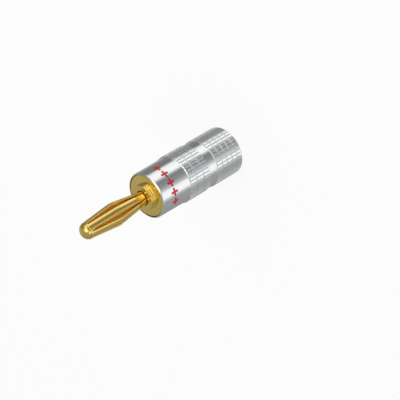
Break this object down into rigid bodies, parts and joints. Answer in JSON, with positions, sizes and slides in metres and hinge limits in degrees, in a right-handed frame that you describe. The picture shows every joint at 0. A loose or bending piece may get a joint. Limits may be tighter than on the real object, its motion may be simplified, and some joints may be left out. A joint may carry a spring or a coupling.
{
  "type": "banana plug",
  "caption": "Straight round speaker plug: a slotted spring pin with a bulge, a polished screw-on shell with a diced grip, and a conical cable entry over a clamped wire socket.",
  "frame": {"origin": "centre of the shell's rear rim, on the surface that the plug stands on", "axes": "+Z along the plug's axis from the cable entry to the tip of the pin, -Y towards the clamp screws and the side that shows"},
  "size_m": [0.0106, 0.0106, 0.0408],
  "materials": {
    "polished_shell": "bright nickel plate, polished",
    "gold_plate": "gold plate, polished",
    "gold_spring": "gold plate over rolled spring sheet",
    "screw_steel": "turned, nickel plate"
  },
  "bodies": {
    "shell": {"barrel_shell": "polished_shell"},
    "sleeve": {"spring_sleeve": "gold_spring"},
    "core": {"core_body": "gold_plate", "centre_pin": "gold_plate"},
    "lower_screw": {"clamp_screw_1": "screw_steel"},
    "upper_screw": {"clamp_screw_2": "screw_steel"}
  },
  "joints": [
    {"name": "core_travel", "type": "slide", "parent": "shell", "child": "sleeve", "axis": [0, 0, 1], "range_m": [0, 0.015]},
    {"name": "core_turn", "type": "hinge", "parent": "sleeve", "child": "core", "pos_m": [0, 0, 0], "axis": [0, 0, 1], "range_deg": [0, 7200]},
    {"name": "lower_screw_clamp", "type": "slide", "parent": "core", "child": "lower_screw", "axis": [0, 1, 0], "range_m": [0, 0.0012]},
    {"name": "upper_screw_clamp", "type": "slide", "parent": "core", "child": "upper_screw", "axis": [0, 1, 0], "range_m": [0, 0.0012]}
  ],
  "couplings": [
    {"joint": "core_turn", "follows": "core_travel", "rad_per_m": 8377.6}
  ]
}
